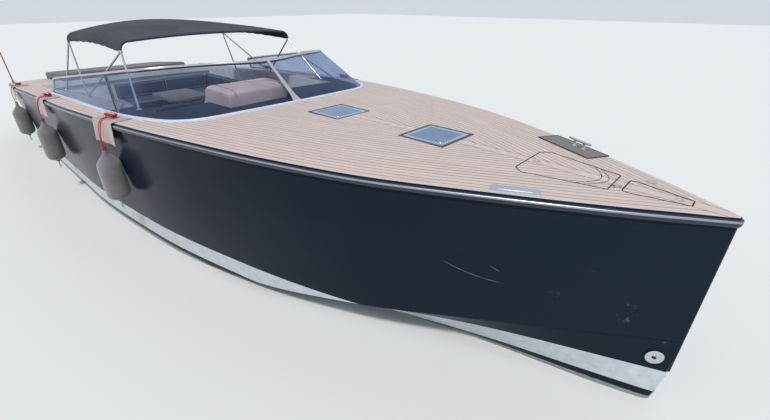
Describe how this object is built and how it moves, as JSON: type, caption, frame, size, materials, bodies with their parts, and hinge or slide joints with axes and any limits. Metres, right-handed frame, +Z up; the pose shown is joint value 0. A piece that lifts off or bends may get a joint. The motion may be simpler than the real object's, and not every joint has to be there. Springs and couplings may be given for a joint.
{
  "type": "speedboat",
  "caption": "Plumb-bowed open day cruiser with teak decks, a low wrapped windshield, a canvas sun top and two trimming, steering outdrives with contra-rotating propellers.",
  "frame": {"origin": "on the centreline at the waterline, halfway between the stem and the platform's aft edge", "axes": "+X to the bow, +Y to port, +Z up"},
  "size_m": [12.056, 3.9564, 3.0608],
  "materials": {
    "navy_gelcoat": "gloss",
    "teak": "matt",
    "rail_rubber": "satin",
    "stainless": "polished",
    "pale_trim": "satin",
    "dark_frame": "satin",
    "clear_glass": "gloss",
    "tinted_glass": "gloss",
    "smoked_acrylic": "gloss",
    "canvas": "matt",
    "white_gelcoat": "gloss",
    "beige_leather": "satin",
    "upholstery": "satin",
    "dash_black": "satin",
    "fender_vinyl": "matt",
    "mat_fabric": "matt",
    "red_rope": "matt",
    "drive_paint": "satin",
    "propeller_steel": "polished",
    "engine_block": "matt"
  },
  "bodies": {
    "hull": {"hull": "navy_gelcoat", "deck": "teak", "rub_rail": "rail_rubber", "windshield_trim": "pale_trim", "windshield_frame": "stainless", "windshield_glass": "tinted_glass", "side_glass": "clear_glass", "sun_top_frame": "stainless", "sun_top_canvas": "canvas", "cockpit_sole": "teak", "helm_console": "white_gelcoat", "helm_pod": "beige_leather", "instrument_panel": "dash_black", "compass": "dash_black", "steering_column": "dash_black", "throttle_levers": "stainless", "door_hinges": "stainless", "cabin_step": "white_gelcoat", "berth_cushions": "upholstery", "helm_seat_base": "white_gelcoat", "helm_seat_cushions": "upholstery", "lounge_base": "white_gelcoat", "lounge_cushions": "upholstery", "cockpit_table": "teak", "galley_unit": "white_gelcoat", "engines": "engine_block", "swim_platform": "teak", "ladder_hinge": "stainless", "mooring_cleats": "stainless", "bow_eye": "stainless", "fenders": "fender_vinyl", "fender_mats": "mat_fabric", "fender_lines": "red_rope", "ensign_staff": "stainless", "foredeck_fittings": "stainless", "forward_hatch_frame": "dark_frame", "aft_hatch_frame": "dark_frame", "port_drive_shield": "drive_paint", "starboard_drive_shield": "drive_paint"},
    "forward_hatch": {"forward_hatch_lid": "dark_frame", "forward_hatch_pane": "smoked_acrylic"},
    "aft_hatch": {"aft_hatch_lid": "dark_frame", "aft_hatch_pane": "smoked_acrylic"},
    "anchor_locker_lid": {"anchor_locker_lid": "teak"},
    "bow_roller_lid": {"bow_roller_lid": "teak"},
    "companionway_door": {"companionway_door": "white_gelcoat"},
    "engine_hatch": {"engine_hatch": "teak", "sun_pad": "upholstery"},
    "steering_wheel": {"steering_wheel": "dash_black"},
    "swim_ladder": {"swim_ladder": "stainless"},
    "port_gimbal": {"port_gimbal_ring": "drive_paint"},
    "port_drive": {"port_drive_leg": "drive_paint"},
    "port_front_propeller": {"port_front_propeller": "propeller_steel"},
    "port_rear_propeller": {"port_rear_propeller": "propeller_steel"},
    "starboard_gimbal": {"starboard_gimbal_ring": "drive_paint"},
    "starboard_drive": {"starboard_drive_leg": "drive_paint"},
    "starboard_front_propeller": {"starboard_front_propeller": "propeller_steel"},
    "starboard_rear_propeller": {"starboard_rear_propeller": "propeller_steel"}
  },
  "joints": [
    {"name": "forward_hatch_hinge", "type": "hinge", "parent": "hull", "child": "forward_hatch", "pos_m": [3.829, 0, 1.4867], "axis": [0, -1, 0], "range_deg": [0, 90]},
    {"name": "aft_hatch_hinge", "type": "hinge", "parent": "hull", "child": "aft_hatch", "pos_m": [2.647, 0, 1.48158], "axis": [0, -1, 0], "range_deg": [0, 90]},
    {"name": "anchor_locker_hinge", "type": "hinge", "parent": "hull", "child": "anchor_locker_lid", "pos_m": [5.375, 0, 1.46638], "axis": [0, 1, 0], "range_deg": [0, 85]},
    {"name": "bow_roller_hinge", "type": "hinge", "parent": "hull", "child": "bow_roller_lid", "pos_m": [5.45, 0, 1.4649], "axis": [0, -1, 0], "range_deg": [0, 100]},
    {"name": "companionway_hinge", "type": "hinge", "parent": "hull", "child": "companionway_door", "pos_m": [1.582, 0.8675, 0.84], "axis": [0, 0, -1], "range_deg": [0, 100]},
    {"name": "engine_hatch_hinge", "type": "hinge", "parent": "hull", "child": "engine_hatch", "pos_m": [-4.99, 0, 1.04363], "axis": [0, -1, 0], "range_deg": [0, 50]},
    {"name": "wheel_turn", "type": "hinge", "parent": "hull", "child": "steering_wheel", "pos_m": [1, -0.24, 1.3], "axis": [-0.9063, 0, 0.4226], "range_deg": [-720, 720]},
    {"name": "ladder_hinge", "type": "hinge", "parent": "hull", "child": "swim_ladder", "pos_m": [-6.022, 0.82, 0.418], "axis": [0, -1, 0], "range_deg": [0, 265]},
    {"name": "port_steer", "type": "hinge", "parent": "hull", "child": "port_gimbal", "pos_m": [-5.335, 0.62, 0.06], "axis": [0, 0, 1], "range_deg": [-24, 24]},
    {"name": "port_trim", "type": "hinge", "parent": "port_gimbal", "child": "port_drive", "pos_m": [-5.335, 0.62, 0.06], "axis": [0, 1, 0], "range_deg": [-5, 30]},
    {"name": "port_front_spin", "type": "hinge", "parent": "port_drive", "child": "port_front_propeller", "pos_m": [-5.811, 0.62, -0.61], "axis": [1, 0, 0], "continuous": true},
    {"name": "port_rear_spin", "type": "hinge", "parent": "port_drive", "child": "port_rear_propeller", "pos_m": [-5.899, 0.62, -0.61], "axis": [1, 0, 0], "continuous": true},
    {"name": "starboard_steer", "type": "hinge", "parent": "hull", "child": "starboard_gimbal", "pos_m": [-5.335, -0.62, 0.06], "axis": [0, 0, 1], "range_deg": [-24, 24]},
    {"name": "starboard_trim", "type": "hinge", "parent": "starboard_gimbal", "child": "starboard_drive", "pos_m": [-5.335, -0.62, 0.06], "axis": [0, 1, 0], "range_deg": [-5, 30]},
    {"name": "starboard_front_spin", "type": "hinge", "parent": "starboard_drive", "child": "starboard_front_propeller", "pos_m": [-5.811, -0.62, -0.61], "axis": [1, 0, 0], "continuous": true},
    {"name": "starboard_rear_spin", "type": "hinge", "parent": "starboard_drive", "child": "starboard_rear_propeller", "pos_m": [-5.899, -0.62, -0.61], "axis": [1, 0, 0], "continuous": true}
  ],
  "couplings": [
    {"joint": "starboard_steer", "follows": "port_steer", "ratio": 1},
    {"joint": "wheel_turn", "follows": "port_steer", "ratio": -30},
    {"joint": "port_rear_spin", "follows": "port_front_spin", "ratio": -1},
    {"joint": "starboard_rear_spin", "follows": "starboard_front_spin", "ratio": -1}
  ]
}
